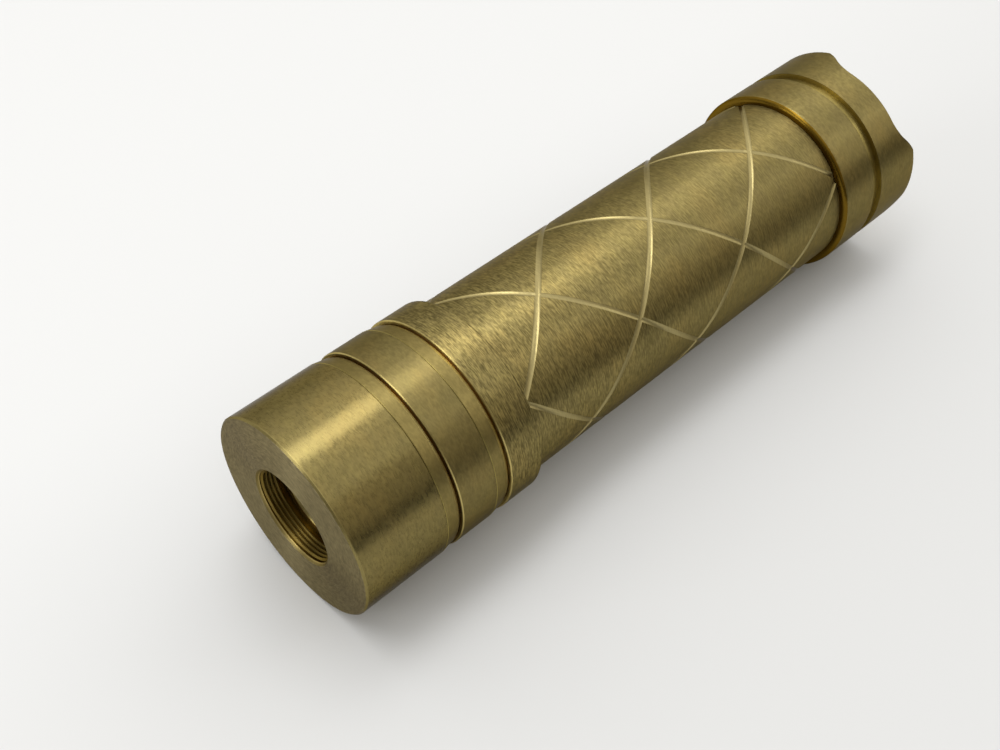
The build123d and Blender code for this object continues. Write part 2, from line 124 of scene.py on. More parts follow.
class POINTER_PG_brass(bpy.types.PropertyGroup):
    """The turned brass of the outside"""

    satin: FloatVectorProperty(
        name="Satin brass", description="Turned and brushed brass of the outside",
        subtype="COLOR", size=3, min=0, max=1, default=srgb("#7E7245"),
    )
    handled: FloatVectorProperty(
        name="Handled brass", description="Darker patches where handling has dulled the brass",
        subtype="COLOR", size=3, min=0, max=1, default=srgb("#756942"),
    )
    patina: FloatVectorProperty(
        name="Warm patina", description="Faint pinker clouds where the brass has begun to tarnish",
        subtype="COLOR", size=3, min=0, max=1, default=srgb("#866C42"),
    )
    fresh: FloatVectorProperty(
        name="Fresh cut", description="Polished walls that the tool left bright and golden",
        subtype="COLOR", size=3, min=0, max=1, default=srgb("#B0954C"),
    )
    milled: FloatVectorProperty(
        name="Milled groove", description="Pale bright floor of the crossed helical grooves",
        subtype="COLOR", size=3, min=0, max=1, default=srgb("#9C8F62"),
    )
    faced: FloatVectorProperty(
        name="Faced end", description="Dull grey-brown end face of the front cap",
        subtype="COLOR", size=3, min=0, max=1, default=srgb("#857A5A"),
    )
    line_pitch: FloatProperty(
        name="Tool line spacing", description="Distance between the fine tool lines",
        subtype="DISTANCE", default=0.2 * MM, min=0.02 * MM, max=1 * MM, precision=5,
    )


class POINTER_PG_thread(bpy.types.PropertyGroup):
    """The thread in the muzzle"""

    pitch: FloatProperty(
        name="Pitch", description="Advance of one turn of the muzzle thread",
        subtype="DISTANCE", default=0.5 * MM, min=0.2 * MM, max=1 * MM, precision=5,
    )
    crest: FloatProperty(
        name="Crest radius", description="Radius to the crests of the muzzle thread",
        subtype="DISTANCE", default=5.70 * MM, min=5 * MM, max=5.9 * MM, precision=5,
    )
    depth: FloatProperty(
        name="Threaded depth", description="Depth from the muzzle to the end of the thread",
        subtype="DISTANCE", default=2.45 * MM, min=1 * MM, max=2.6 * MM, precision=5,
    )
    steps: IntProperty(
        name="Steps", description="Steps round one turn", default=96, min=24, max=256,
    )


class POINTER_PG_button(bpy.types.PropertyGroup):
    """The rubber push button in the tail"""

    rubber: FloatVectorProperty(
        name="Rubber", description="Colour of the moulded boot",
        subtype="COLOR", size=3, min=0, max=1, default=srgb("#1E1E1F"),
    )
    rib_height: FloatProperty(
        name="Rib height", description="Height of the grip rings on the boot's top",
        subtype="DISTANCE", default=0.16 * MM, min=0, max=0.3 * MM, precision=5,
    )


class POINTER_PG_stage(bpy.types.PropertyGroup):
    """Floor, lamps and camera"""

    floor: FloatVectorProperty(
        name="Floor", description="Colour of the plain pale floor",
        subtype="COLOR", size=3, min=0, max=1, default=srgb("#D8D9DA"),
    )
    focal_length: FloatProperty(
        name="Focal length", description="Focal length of the camera in millimetres",
        default=45.07, min=10, max=200,
    )
    strip_lamp: FloatProperty(
        name="Strip lamp", description="Radiance of the strip lamp overhead",
        default=3.9, min=0, max=100,
    )
    side_lamp: FloatProperty(
        name="Side lamp", description="Radiance of the lamp on the muzzle's side",
        default=4.0, min=0, max=100,
    )
    fill_lamp: FloatProperty(
        name="Fill lamp", description="Radiance of the weak lamp on the tail's side",
        default=1.05, min=0, max=100,
    )
    world: FloatProperty(
        name="Room", description="Radiance of the brightest part of the plain room",
        default=1.5, min=0, max=10,
    )


# Small tools


def add(tree, kind, inputs=None, **settings):
    """Adds one shader node: settings are its properties, inputs its sockets' values or links."""
    node = tree.nodes.new("ShaderNode" + kind)
    for name, value in settings.items():
        setattr(node, name, value)
    for key, value in (inputs or {}).items():
        if isinstance(value, bpy.types.NodeSocket):
            tree.links.new(value, node.inputs[key])
        elif hasattr(value, "__len__") and node.inputs[key].type == "RGBA":
            node.inputs[key].default_value = (*value, 1)
        else:
            node.inputs[key].default_value = value
    return node


def new_finish(name, **inputs):
    """An empty material with a Principled shader whose constants are set on its own sockets."""
    material = bpy.data.materials.new(name)
    material.use_nodes = True
    tree = material.node_tree
    tree.nodes.clear()
    shader = add(tree, "BsdfPrincipled")
    for key, value in inputs.items():
        socket = shader.inputs[key.replace("_", " ")]
        socket.default_value = (*value, 1) if socket.type == "RGBA" else value
    out = add(tree, "OutputMaterial")
    tree.links.new(shader.outputs[0], out.inputs[0])
    return material, tree, shader


def wear(name, material):
    """Gives a CAD node a material."""
    mesh = nodes[name].data
    mesh.materials.clear()
    mesh.materials.append(material)


def put_mesh(name, points, faces, material, body, smooth=True):
    """A mesh object from arrays of points and faces, turned right side out, that rides on a body.

    The signed volume, a sum of the box products of each fan triangle's corners, tells which way
    the faces point."""
    points = np.asarray(points, float).reshape(-1, 3)
    blocks = [np.asarray(block, int) for block in faces]
    volume = 0.0
    for block in blocks:
        for k in range(1, block.shape[1] - 1):
            a, b, c = points[block[:, 0]], points[block[:, k]], points[block[:, k + 1]]
            volume += np.einsum("ij,ij->", a - points[0], np.cross(b - points[0], c - points[0]))
    way = 1 if volume > 0 else -1
    polygons = [row for block in blocks for row in block[:, ::way].tolist()]
    mesh = bpy.data.meshes.new(name)
    mesh.from_pydata(points.tolist(), [], polygons)
    mesh.polygons.foreach_set("use_smooth", [smooth] * len(mesh.polygons))
    mesh.validate()
    mesh.materials.append(material)
    piece = bpy.data.objects.new(name, mesh)
    bpy.context.scene.collection.objects.link(piece)
    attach(piece, body)
    return piece


def closed_rows(rows, columns):
    """Quads between the neighbours of a grid of points, stored row by row, whose rows are rings."""
    i = np.arange(rows - 1)[:, None] * columns
    j = np.arange(columns)[None, :]
    after = (j + 1) % columns
    corners = (i + j, i + after, i + columns + after, i + columns + j)
    return np.stack([corner.ravel() for corner in corners], 1)


def turned(name, outline, segments, material, body):
    """A turning round the pointer's axis.

    outline holds (x, r) points from one point on the axis to another. A point at angle t lies at
    y = r sin t and z = axis height + r cos t, and the two ends on the axis are single points."""
    outline = np.asarray(outline, float)
    t = np.linspace(0, TURN, segments, endpoint=False)
    x, r = outline[1:-1, 0, None], outline[1:-1, 1, None]
    rings = np.stack([x + 0 * t, r * np.sin(t), AXIS_HEIGHT + r * np.cos(t)], -1).reshape(-1, 3)
    count = len(outline) - 2
    points = np.vstack([rings, [outline[0, 0], 0, AXIS_HEIGHT], [outline[-1, 0], 0, AXIS_HEIGHT]])
    ring = np.arange(segments)
    after = (ring + 1) % segments
    first = np.stack([np.full(segments, count * segments), after, ring], 1)
    last_ring = (count - 1) * segments
    last = np.stack([np.full(segments, count * segments + 1), last_ring + ring, last_ring + after], 1)
    return put_mesh(name, points, [closed_rows(count, segments), first, last], material, body)


# Finishes


def on_axis(tree):
    """Place on the pointer: from the axis, the part of it across the axis, x along it, radius."""
    place = add(tree, "TexCoord").outputs["Object"]
    from_axis = {0: place, 1: (0, 0, AXIS_HEIGHT)}
    centred = add(tree, "VectorMath", from_axis, operation="SUBTRACT").outputs[0]
    across = add(tree, "VectorMath", {0: centred, 1: (0, 1, 1)}, operation="MULTIPLY").outputs[0]
    along = add(tree, "SeparateXYZ", {0: centred}).outputs[0]
    radius = add(tree, "VectorMath", {0: across}, operation="LENGTH").outputs["Value"]
    return centred, across, along, radius


def within(tree, along, radius, start, end, inner, outer):
    """1 in the ring of space between two stations and two radii, and 0 outside it."""
    reach = {1: (start + end) / 2, 2: abs(end - start) / 2}
    in_x = add(tree, "Math", {0: along, **reach}, operation="COMPARE").outputs[0]
    wall = {1: (inner + outer) / 2, 2: (outer - inner) / 2}
    in_r = add(tree, "Math", {0: radius, **wall}, operation="COMPARE").outputs[0]
    return add(tree, "Math", {0: in_x, 1: in_r}, operation="MULTIPLY").outputs[0]


def cutter_marks(tree, grooves, along, radius, angle, normal, lay):
    """The normal and the lay of the surface where a cutter has milled helical grooves.

    The floor is flatter than a round cutter's, so the bump takes a fifth of the depth's slope
    back. The cutter left its lines along the groove, so the lay is slanted there. Left-handed
    grooves lie where starts * (x / lead - angle / one turn), counted from a crossing, is whole,
    and what is cut elsewhere is right-handed."""
    start, end, top, cross_x, cross_angle, lead, starts, half_width = grooves
    deepest = top - 0.6 * MM
    depth = add(tree, "Math", {0: radius, 1: top}, operation="SUBTRACT").outputs[0]
    depth = add(tree, "Math", {0: depth, 1: 0.0}, operation="MINIMUM").outputs[0]
    cut = within(tree, along, radius, start, end, deepest, top + 0.1 * MM)
    depth = add(tree, "Math", {0: depth, 1: cut}, operation="MULTIPLY").outputs[0]
    depth = add(tree, "Math", {0: depth, 1: -0.2}, operation="MULTIPLY").outputs[0]
    normal = add(tree, "Bump", {"Height": depth, "Strength": 1.0, "Distance": 1.0, "Normal": normal})

    phase = {1: -starts / TURN, 2: starts * (cross_angle / TURN - cross_x / lead)}
    phase = add(tree, "Math", {0: angle, **phase}, operation="MULTIPLY_ADD").outputs[0]
    phase = add(tree, "Math", {0: along, 1: starts / lead, 2: phase}, operation="MULTIPLY_ADD").outputs[0]
    phase = add(tree, "Math", {0: phase, 1: 0.5}, operation="PINGPONG").outputs[0]
    left = add(tree, "Math", {0: phase, 1: half_width * starts / lead}, operation="LESS_THAN").outputs[0]
    slant = add(tree, "Mix", {0: left, 2: 1.0, 3: -1.0}).outputs[0]
    floor = within(tree, along, radius, start, end, deepest, top - 0.012 * MM)
    slant = add(tree, "Math", {0: slant, 1: floor}, operation="MULTIPLY").outputs[0]
    lay = add(tree, "VectorMath", {0: (1, 0, 0), 1: slant, 2: lay}, operation="MULTIPLY_ADD").outputs[0]
    return normal.outputs[0], lay


def screw_thread(tree, screw, along, radius, angle, normal):
    """The normal of a screw thread between two stations.

    Its height is a triangle wave of x / pitch - angle / one turn, half a pitch deep."""
    start, end, pitch = screw
    phase = add(tree, "Math", {0: angle, 1: -1 / TURN, 2: 0.0}, operation="MULTIPLY_ADD").outputs[0]
    phase = add(tree, "Math", {0: along, 1: 1 / pitch, 2: phase}, operation="MULTIPLY_ADD").outputs[0]
    wave = add(tree, "Math", {0: phase, 1: 0.5}, operation="PINGPONG").outputs[0]
    cut = within(tree, along, radius, start, end, 0, HEAD_RADIUS)
    wave = add(tree, "Math", {0: wave, 1: cut}, operation="MULTIPLY").outputs[0]
    cut = {"Height": wave, "Strength": 1.0, "Distance": pitch, "Normal": normal}
    return add(tree, "Bump", cut).outputs[0]


def turned_brass(
    name, brass, regions=(), grain=1.0, streak=0.2, gloss=(0.27, 0.37), smooth=None, screw=None, grooves=None
):
    """Satin brass, turned on a lathe and brushed with an abrasive pad.

    Tool lines run round the axis: noise that changes quickly with x + r, which follows both a
    cylinder and an end face, and slowly across the axis. It gives the eye a highlight drawn out
    along the pointer, a fine mottle with short brush streaks round it, and duller patches from
    handling. grain is the strength of the mottle, streak the part of it that is brushed out into
    streaks, and gloss the range of the roughness. smooth is (x0, x1, share): between these
    stations handling has smoothed the mottle down to this share of it. screw is (x0, x1, pitch)
    of a thread that the bump draws."""
    material, tree, shader = new_finish(
        name, Metallic=1.0, Anisotropic=0.8, Anisotropic_Rotation=0.25, Specular_Tint=(0.46, 0.44, 0.43)
    )
    centred, across, along, radius = on_axis(tree)
    profile = add(tree, "Math", {0: along, 1: radius}, operation="ADD").outputs[0]

    def lines(pitch, length, detail):
        """Noise in lines round the axis, of that spacing and of that length round it."""
        quick = add(tree, "Math", {0: profile, 1: 1 / pitch}, operation="MULTIPLY").outputs[0]
        quick = add(tree, "CombineXYZ", {0: quick}).outputs[0]
        slow = {0: across, 1: (0, 1 / length, 1 / length), 2: quick}
        at = add(tree, "VectorMath", slow, operation="MULTIPLY_ADD").outputs[0]
        noise = {"Vector": at, "Scale": 1.0, "Detail": detail, "Roughness": 0.6}
        return add(tree, "TexNoise", noise).outputs[0]

    # Real lines are 0.05 mm apart. They are drawn two to four times as coarse, so that they show.
    fine = lines(brass.line_pitch, 0.6 * MM, 1.0)
    mottle = lines(0.45 * MM, 0.85 * MM, 3.0)
    brushed = lines(0.10 * MM, 1.3 * MM, 1.0)
    patches = lines(1.1 * MM, 2.2 * MM, 3.0)
    clouds = add(tree, "TexNoise", {"Vector": centred, "Scale": 1 / (7 * MM), "Detail": 2.0}).outputs[0]

    # In a Map Range, sockets 1 and 2 are the range that comes in, and 3 and 4 what it becomes
    handled = add(tree, "Math", {0: patches, 1: clouds}, operation="ADD").outputs[0]
    dull = add(tree, "MapRange", {0: handled, 1: 0.75, 2: 1.25, 3: 0.9, 4: 0.0}).outputs[0]
    warm = add(tree, "MapRange", {0: clouds, 1: 0.4, 2: 0.62, 3: 0.0, 4: 0.2}).outputs[0]
    tints = {6: tuple(brass.satin), 7: tuple(brass.patina)}
    colour = add(tree, "Mix", {0: warm, **tints}, data_type="RGBA").outputs[2]
    colour = add(tree, "Mix", {0: dull, 6: colour, 7: tuple(brass.handled)}, data_type="RGBA").outputs[2]
    surface = add(tree, "Mix", {0: streak, 2: mottle, 3: brushed}).outputs[0]
    surface = add(tree, "Mix", {0: 0.4, 2: surface, 3: fine}).outputs[0]
    rough = add(tree, "MapRange", {0: surface, 1: 0.35, 2: 0.65, 3: gloss[0], 4: gloss[1]}).outputs[0]
    share = grain
    if smooth:
        x0, x1, left = smooth
        share = add(tree, "MapRange", {0: along, 1: x0, 2: x1, 3: grain, 4: left * grain}).outputs[0]
    for region in regions:
        mask = within(tree, along, radius, region.start, region.end, region.inner, region.outer)
        tint = tuple(region.colour)
        colour = add(tree, "Mix", {0: mask, 6: colour, 7: tint}, data_type="RGBA").outputs[2]
        rough = add(tree, "Mix", {0: mask, 2: rough, 3: region.roughness}).outputs[0]
        share = add(tree, "Mix", {0: mask, 2: share, 3: region.mottle * grain}).outputs[0]
    light = {0: surface, 1: 0.32, 2: 0.72, 3: 0.86, 4: 1.3}
    light = add(tree, "MapRange", light, interpolation_type="SMOOTHSTEP").outputs[0]
    light = add(tree, "Mix", {0: share, 2: 1.0, 3: light}, clamp_factor=False).outputs[0]
    colour = add(tree, "VectorMath", {0: colour, "Scale": light}, operation="SCALE").outputs[0]
    height = add(tree, "Math", {0: surface, 1: share}, operation="MULTIPLY").outputs[0]
    normal = add(tree, "Bump", {"Height": height, "Strength": 1.0, "Distance": 0.008 * MM}).outputs[0]

    # The lathe's lines run round the axis, as the cross product of the axis and the place
    lay = add(tree, "VectorMath", {0: (1, 0, 0), 1: across}, operation="CROSS_PRODUCT").outputs[0]
    lay = add(tree, "VectorMath", {0: lay}, operation="NORMALIZE").outputs[0]
    place = add(tree, "SeparateXYZ", {0: centred}).outputs
    angle = add(tree, "Math", {0: place[1], 1: place[2]}, operation="ARCTAN2").outputs[0]
    if grooves:
        normal, lay = cutter_marks(tree, grooves, along, radius, angle, normal, lay)
    if screw:
        normal = screw_thread(tree, screw, along, radius, angle, normal)
    # The shader wants the lay as the room sees it, so that it turns with the piece
    spaces = {"convert_from": "OBJECT", "convert_to": "WORLD"}
    lay = add(tree, "VectorTransform", {0: lay}, vector_type="VECTOR", **spaces).outputs[0]

    tree.links.new(colour, shader.inputs["Base Color"])
    tree.links.new(rough, shader.inputs["Roughness"])
    tree.links.new(normal, shader.inputs["Normal"])
    tree.links.new(lay, shader.inputs["Tangent"])
    return material


def grained(name, colour, roughness, grain, variation=0.08, bump=0.0, **inputs):
    """A plain material with the fine grain of how it was made.

    Noise of that grain size, in metres, varies the roughness and the colour a little, and lifts
    the surface by bump metres."""
    material, tree, shader = new_finish(name, **inputs)
    place = add(tree, "TexCoord").outputs["Object"]
    noise = add(tree, "TexNoise", {"Vector": place, "Scale": 1 / grain, "Detail": 3.0}).outputs[0]
    shade = {0: noise, 1: 0.3, 2: 0.7, 3: 1 - variation, 4: 1 + variation}
    shade = add(tree, "MapRange", shade).outputs[0]
    tint = add(tree, "VectorMath", {0: tuple(colour), "Scale": shade}, operation="SCALE").outputs[0]
    rough = add(tree, "Math", {0: shade, 1: roughness}, operation="MULTIPLY").outputs[0]
    tree.links.new(tint, shader.inputs["Base Color"])
    tree.links.new(rough, shader.inputs["Roughness"])
    if bump:
        lift = add(tree, "Bump", {"Height": noise, "Strength": 1.0, "Distance": bump})
        tree.links.new(lift.outputs[0], shader.inputs["Normal"])
    return material


def wrapped_cell():
    """Shrunk PVC wrap over a steel can: the wrap has a soft gloss and the bare ends are steel."""
    material, tree, shader = new_finish("Wrapped steel cell", Coat_Weight=0.25, Coat_Roughness=0.2)
    _, _, along, radius = on_axis(tree)
    low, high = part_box("battery_cell")
    bare_foot, bare_shoulder, bare_ends_radius, beyond = 0.8 * MM, 0.15 * MM, 8.2 * MM, 10 * MM
    grain = 1.11 * MM
    wrap = within(tree, along, radius, low.x + bare_foot, high.x - bare_shoulder, bare_ends_radius, beyond)
    place = add(tree, "TexCoord").outputs["Object"]
    noise = add(tree, "TexNoise", {"Vector": place, "Scale": 1 / grain, "Detail": 3.0}).outputs[0]
    steel, blue = srgb("#A9A7A2"), srgb("#2E5F86")
    colour = add(tree, "Mix", {0: wrap, 6: steel, 7: blue}, data_type="RGBA").outputs[2]
    metal = add(tree, "Math", {0: 1.0, 1: wrap}, operation="SUBTRACT").outputs[0]
    rough = add(tree, "MapRange", {0: noise, 1: 0.3, 2: 0.7, 3: 0.28, 4: 0.4}).outputs[0]
    tree.links.new(colour, shader.inputs["Base Color"])
    tree.links.new(metal, shader.inputs["Metallic"])
    tree.links.new(rough, shader.inputs["Roughness"])
    return material


# Pieces


class POINTER_OT_turned_sections(bpy.types.Operator):
    """Finishes the four turned brass sections: front cap, head sleeve, battery tube and tail cap"""

    bl_idname = "pointer.turned_sections"
    bl_label = "Turned brass sections"

    def execute(self, context):
        brass = context.scene.pointer_brass
        # Painted light and shade: the first colour lightens the walls seen in the slot gaps as painted
        # light, the second is a painted highlight on the slots' lips, and the third is painted shade in the
        # bore and on the tail cap's rim face.
        slot, lip, painted_shade = srgb("#A98A4C"), srgb("#BBAA6C"), srgb("#6A5218")

        def band_to_slot(wall, length):
            """A fine-turned band with its scribed line, and the slot's wall and lip behind it. The line and
            the wall are lightened as painted light, and the lip's colour is a painted highlight.
            """
            edge = wall - length
            return (
                # Painted light: the scribed line is lightened against the shade in its crease
                Region(edge - 0.06 * MM, edge + 0.02 * MM, 0, FAR, srgb("#A39457"), 0.38, 0.3),
                Region(edge, wall, 0, FAR, srgb("#827446"), 0.38, 0.8),
                # Painted light: the wall and spigot seen in the slot gap are lighter than the outside brass,
                # standing in for light in the gap
                Region(wall - SKIN, wall + 1.1 * MM, 0, LIP_FOOT, slot, 0.35, 0.3),
                # Painted highlight: the lip's pale colour
                Region(wall - SLOT_LIP, wall, LIP_FOOT, LIP_TOP, lip, 0.32, 0.4),
            )

        def rear_lip(wall):
            """The lip behind a slot, whose pale colour is a painted highlight."""
            return Region(wall, wall + SLOT_LIP, LIP_FOOT, LIP_TOP, lip, 0.32, 0.4)

        edge, mouth = MUZZLE + SKIN, MUZZLE + 0.2 * MM
        bore = MUZZLE + MOUTH_CHAMFER + SKIN
        rim_radius = HEAD_RADIUS - 0.4 * MM
        front_cap = (
            *band_to_slot(FRONT_SLOT[0], 1.9 * MM),
            Region(MUZZLE - 1 * MM, edge, 0, FAR, brass.faced, 0.42, 1.6),
            # The muzzle's edge ring: its paler colour is a painted highlight
            Region(edge, MUZZLE + 0.3 * MM, rim_radius, FAR, srgb("#8A7D4E"), 0.33, 0.5),
            Region(edge, mouth, 0, MOUTH_REACH, srgb("#8A7B4C"), 0.45, 0.2),
            Region(mouth, bore + SKIN, 0, MOUTH_REACH, srgb("#A8945A"), 0.4, 0.2),
            # Painted shade: the bore behind the thread is darkened in colour
            Region(bore, FRONT_SLOT[0] - 0.7 * MM, 0, MOUTH_REACH, painted_shade, 0.3, 0.2),
        )
        finish = turned_brass("Satin turned brass, front cap", brass, front_cap, gloss=(0.24, 0.35))
        wear("front_cap", finish)

        spigot_radius = HEAD_RADIUS - 0.3 * MM
        head_sleeve = (
            *band_to_slot(REAR_SLOT[0], 1.92 * MM),
            rear_lip(FRONT_SLOT[1]),
            # Painted light: the spigot and the front slot's wall seen in the gap are lightened in colour
            Region(MUZZLE, FRONT_SLOT[1] + 0.01 * MM, 0, spigot_radius, slot, 0.3, 0.3),
        )
        finish = turned_brass("Satin turned brass, head sleeve", brass, head_sleeve, gloss=(0.35, 0.45))
        wear("head_sleeve", finish)

        wall = REAR_SLOT[1]
        battery_tube = (
            # Painted light: the rear slot's wall is lightened in colour
            Region(wall - 0.05 * MM, wall + 0.03 * MM, 0, HEAD_RADIUS - 0.2 * MM, slot, 0.35, 0.3),
            rear_lip(wall),
            Region(SHOULDER_FOOT, CAP_RIM, 0, BODY_RADIUS - SKIN, brass.milled, 0.31, 0.15),
            Region(CAP_RIM, TAIL, 0, FAR, brass.fresh, 0.25, 0.4),
        )
        grooves = Grooves(
            start=SHOULDER_FOOT + 0.3 * MM, end=CAP_RIM, top=BODY_RADIUS, cross_x=-13.89 * MM,
            cross_angle=math.radians(-8.45), lead=75 * MM, starts=4, half_width=0.56 * MM,
        )
        wear("battery_tube", turned_brass(
            "Brushed turned brass, battery tube", brass, battery_tube, grain=2.9, streak=0.95,
            gloss=(0.33, 0.44), smooth=(-26 * MM, 12 * MM, 0.5),
            screw=(35.2 * MM, 38.4 * MM, 1.0 * MM), grooves=grooves,
        ))

        under_rim, rim_end = HEAD_RADIUS - 0.05 * MM, CAP_RIM + 0.6 * MM
        crown_radius = HEAD_RADIUS - 0.6 * MM
        tail_cap = (
            # Painted shade: the tail cap's rim face and its fillet are darkened in colour
            Region(CAP_RIM - 0.1 * MM, rim_end, 0, under_rim, painted_shade, 0.25, 0.3),
            Region(*TAIL_GROOVE, 0, under_rim, srgb("#9A8A4E"), 0.3, 0.3),
            Region(rim_end, TAIL, 0, crown_radius, srgb("#978850"), 0.3, 0.7),
        )
        wear("tail_cap", turned_brass("Satin turned brass, tail cap", brass, tail_cap, gloss=(0.29, 0.38)))
        return {"FINISHED"}


class POINTER_OT_muzzle_thread(bpy.types.Operator):
    """Cuts the fine thread that shows inside the muzzle"""

    bl_idname = "pointer.muzzle_thread"
    bl_label = "Muzzle thread"

    def execute(self, context):
        thread = context.scene.pointer_thread
        brass = context.scene.pointer_brass
        # One ridge on a helix. Going round by t, it moves back by pitch * t / one turn. Its
        # section is a V of 60 degrees with a flat crest, and its height fades in and out at the
        # ends over an eighth of a turn.
        root = 5.97 * MM
        foot, crest = 0.46, 0.1  # half widths of the ridge, as shares of the pitch
        turns = (thread.depth - MOUTH_CHAMFER) / thread.pitch - 0.5
        count = int(turns * thread.steps)
        t = np.linspace(0, turns * TURN, count)[:, None]
        fade = np.clip(np.minimum(t, t[-1] - t) / (TURN / 8), 0.02, 1)
        beside = np.array([-foot, -crest, crest, foot])[None, :] * thread.pitch
        height = np.array([0.0, 1.0, 1.0, 0.0])[None, :] * (root - thread.crest)
        r = root - height * fade
        x = MUZZLE + MOUTH_CHAMFER + thread.pitch * (0.45 + t / TURN) + beside
        points = np.stack([x, r * np.sin(t), AXIS_HEIGHT + r * np.cos(t)], -1)
        ends = [[[0, 1, 2, 3]], [[(count - 1) * 4 + k for k in (3, 2, 1, 0)]]]
        # Brass cut by a tap in a shaded bore: deeper in colour and even, without a mottle
        finish = turned_brass("Turned brass, muzzle thread", brass, (
            Region(MUZZLE - 1 * MM, 0, 0, HEAD_RADIUS, srgb("#86723A"), 0.4, 0.0),
        ))
        faces = [closed_rows(count, 4), *ends]
        piece = put_mesh("muzzle_thread", points, faces, finish, "host", smooth=False)
        return {"FINISHED"}


class POINTER_OT_laser_module(bpy.types.Operator):
    """Finishes the laser module behind the muzzle: barrel, base, lens, diode and its leads"""

    bl_idname = "pointer.laser_module"
    bl_label = "Laser module"

    def execute(self, context):
        # Fine-turned brass, a little deeper in colour on the ring face that shows in the mouth
        face = (MODULE_FRONT - 1 * MM, MODULE_FRONT + SKIN, 4.6 * MM, MOUTH_REACH)
        module = turned_brass("Fine-turned module brass", context.scene.pointer_brass, (
            Region(*face, srgb("#7D6630"), 0.3, 1.0),
        ))
        for name in ("module_barrel", "module_base", "lens_cell", "lens_retainer"):
            wear(name, module)
        # Crown glass with a broadband coating: clear, with a faint cool film
        glass, _, _ = new_finish(
            "Coated crown glass", Base_Color=srgb("#F4F8FA"), Roughness=0.0, IOR=1.52,
            Transmission_Weight=1.0, Thin_Film_Thickness=110.0, Thin_Film_IOR=1.38,
        )
        wear("collimating_lens", glass)
        # Flat window of borosilicate glass sealed in the can: clear and faintly green
        window, _, _ = new_finish(
            "Borosilicate window glass", Base_Color=srgb("#EDF3F2"), Roughness=0.02, IOR=1.47,
            Transmission_Weight=1.0,
        )
        wear("diode_window", window)
        # Gold-flashed kovar: smooth, warm and a little satin, and a little brighter on the pins
        can = grained("Gold-flashed diode can", srgb("#C9A04E"), 0.22, 0.4 * MM, Metallic=1.0)
        wear("laser_diode", can)
        wear("diode_pins", grained("Gold-flashed pins", srgb("#D1AA58"), 0.25, 0.3 * MM, Metallic=1.0))
        # Extruded PVC sleeve: plain red with a soft gloss
        sleeve = grained("Red PVC wire sleeve", srgb("#8E1F1B"), 0.45, 0.5 * MM, bump=0.004 * MM)
        wear("lead_wires", sleeve)
        # Drawn steel wire: bright grey, smooth from the die
        wire = grained("Drawn steel spring wire", srgb("#9C9A95"), 0.25, 0.25 * MM, Metallic=1.0)
        wear("lens_spring", wire)
        return {"FINISHED"}


def return_spring(material):
    """The button's return spring: a circle carried along a helix that climbs along the axis.

    At angle t the middle of the wire has moved along by the spring's room times t / all turns.
    The spring fills the box of its solid."""
    low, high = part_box("switch_spring")
    wire_radius, turns, steps, sides = 0.15 * MM, 3, 217, 12
    coil_radius = (high.y - low.y) / 2 - wire_radius
    room = high.x - low.x - 2 * wire_radius
    t = np.linspace(0, turns * TURN, steps)[:, None]
    a = np.linspace(0, TURN, sides, endpoint=False)[None, :]
    r = coil_radius + wire_radius * np.cos(a)
    x = low.x + wire_radius + room * t / (turns * TURN) + wire_radius * np.sin(a)
    points = np.stack([x, r * np.sin(t), AXIS_HEIGHT + r * np.cos(t)], -1)
    ring = np.arange(sides)[None, :]
    faces = [closed_rows(steps, sides), ring, (steps - 1) * sides + ring[:, ::-1]]
    spring = put_mesh("return_spring", points, faces, material, "tail")
    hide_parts("switch_spring")
    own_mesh(spring)


class POINTER_OT_power_unit(bpy.types.Operator):
    """Finishes what the tube holds, board, springs, cell and switch, and makes the return spring"""

    bl_idname = "pointer.power_unit"
    bl_label = "Power and switch unit"

    def execute(self, context):
        brass = context.scene.pointer_brass
        # Epoxy-glass board under a green solder mask: glossy, with the weave faint below it
        mask = srgb("#1E5B38")
        board = grained("Green solder mask", mask, 0.3, 0.8 * MM, bump=0.006 * MM, Coat_Weight=0.4)
        for name in ("driver_board", "switch_board"):
            wear(name, board)
        # Moulded epoxy: near black and matt
        wear("driver_parts", grained("Moulded black epoxy", srgb("#17181A"), 0.5, 0.2 * MM, bump=0.003 * MM))
        # Nickel-plated spring wire: bright grey with faint drawing lines
        wire = grained("Nickel-plated spring wire", srgb("#B4B0A6"), 0.24, 0.25 * MM, Metallic=1.0)
        for name in ("contact_spring", "tail_spring"):
            wear(name, wire)
        return_spring(wire)
        # Freshly machined brass: brighter and more golden than the outside
        holder = turned_brass("Machined holder brass", brass, (Region(-1, 1, 0, 1, brass.fresh, 0.28, 0.6),))
        wear("switch_holder", holder)
        # Moulded PBT: near black with a soft gloss
        wear("switch_body", grained("Black PBT moulding", srgb("#1B1B1C"), 0.45, 0.15 * MM, bump=0.004 * MM))
        # Turned acetal: milky white and smooth
        acetal = grained("White acetal plunger", srgb("#DAD8D0"), 0.35, 0.5 * MM, variation=0.02)
        wear("switch_plunger", acetal)
        wear("battery_cell", wrapped_cell())
        return {"FINISHED"}


class POINTER_OT_seal_rings(bpy.types.Operator):
    """Finishes the three rubber seal rings"""

    bl_idname = "pointer.seal_rings"
    bl_label = "Seal rings"

    def execute(self, context):
        # Moulded nitrile rubber: near black, dull, with a greasy soft gloss
        rubber = grained("Black nitrile rubber", srgb("#151515"), 0.42, 0.3 * MM, bump=0.004 * MM)
        for name in ("front_seal", "rear_seal", "tail_seal"):
            wear(name, rubber)
        return {"FINISHED"}


